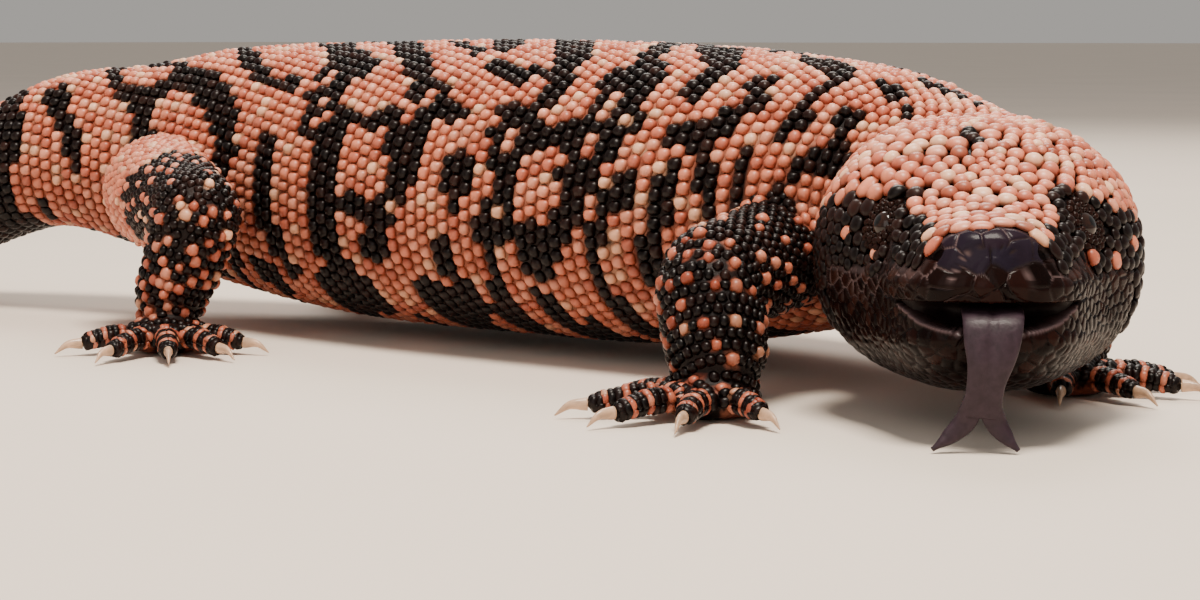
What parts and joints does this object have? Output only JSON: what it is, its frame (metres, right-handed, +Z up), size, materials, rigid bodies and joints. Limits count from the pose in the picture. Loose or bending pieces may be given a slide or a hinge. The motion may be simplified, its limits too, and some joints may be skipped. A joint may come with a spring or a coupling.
{
  "type": "gila monster",
  "caption": "Life-size still model of a gila monster with a beaded skin, a fat tail and a forked tongue, standing with its head turned aside.",
  "frame": {"origin": "on the floor under the middle of the whole animal", "axes": "+X along the trunk towards the head, +Y to the animal's left, +Z up"},
  "size_m": [0.4254, 0.17, 0.068],
  "materials": {
    "skin": "satin beads, salmon pink with black bands",
    "leg_skin": "glossy black beads with scattered salmon ones",
    "face_skin": "glossy black plates, salmon beads on the crown",
    "eye": "wet, dark",
    "tongue": "moist mauve grey",
    "claw": "smooth pale horn"
  },
  "bodies": {
    "root": {"neck": "skin", "torso": "skin", "tail_base": "skin", "tail_end": "skin", "eye_left": "eye", "eye_right": "eye", "head": "face_skin", "lower_jaw": "face_skin", "tongue": "tongue", "fore_right_upper": "leg_skin", "fore_right_claw_1": "claw", "fore_right_claw_2": "claw", "fore_right_claw_3": "claw", "fore_right_claw_4": "claw", "fore_right_claw_5": "claw", "fore_right_lower": "leg_skin", "fore_right_foot": "leg_skin", "fore_left_upper": "leg_skin", "fore_left_claw_1": "claw", "fore_left_claw_2": "claw", "fore_left_claw_3": "claw", "fore_left_claw_4": "claw", "fore_left_claw_5": "claw", "fore_left_lower": "leg_skin", "fore_left_foot": "leg_skin", "hind_right_upper": "leg_skin", "hind_right_claw_1": "claw", "hind_right_claw_2": "claw", "hind_right_claw_3": "claw", "hind_right_claw_4": "claw", "hind_right_claw_5": "claw", "hind_right_lower": "leg_skin", "hind_right_foot": "leg_skin", "hind_left_upper": "leg_skin", "hind_left_claw_1": "claw", "hind_left_claw_2": "claw", "hind_left_claw_3": "claw", "hind_left_claw_4": "claw", "hind_left_claw_5": "claw", "hind_left_lower": "leg_skin", "hind_left_foot": "leg_skin"}
  },
  "joints": []
}
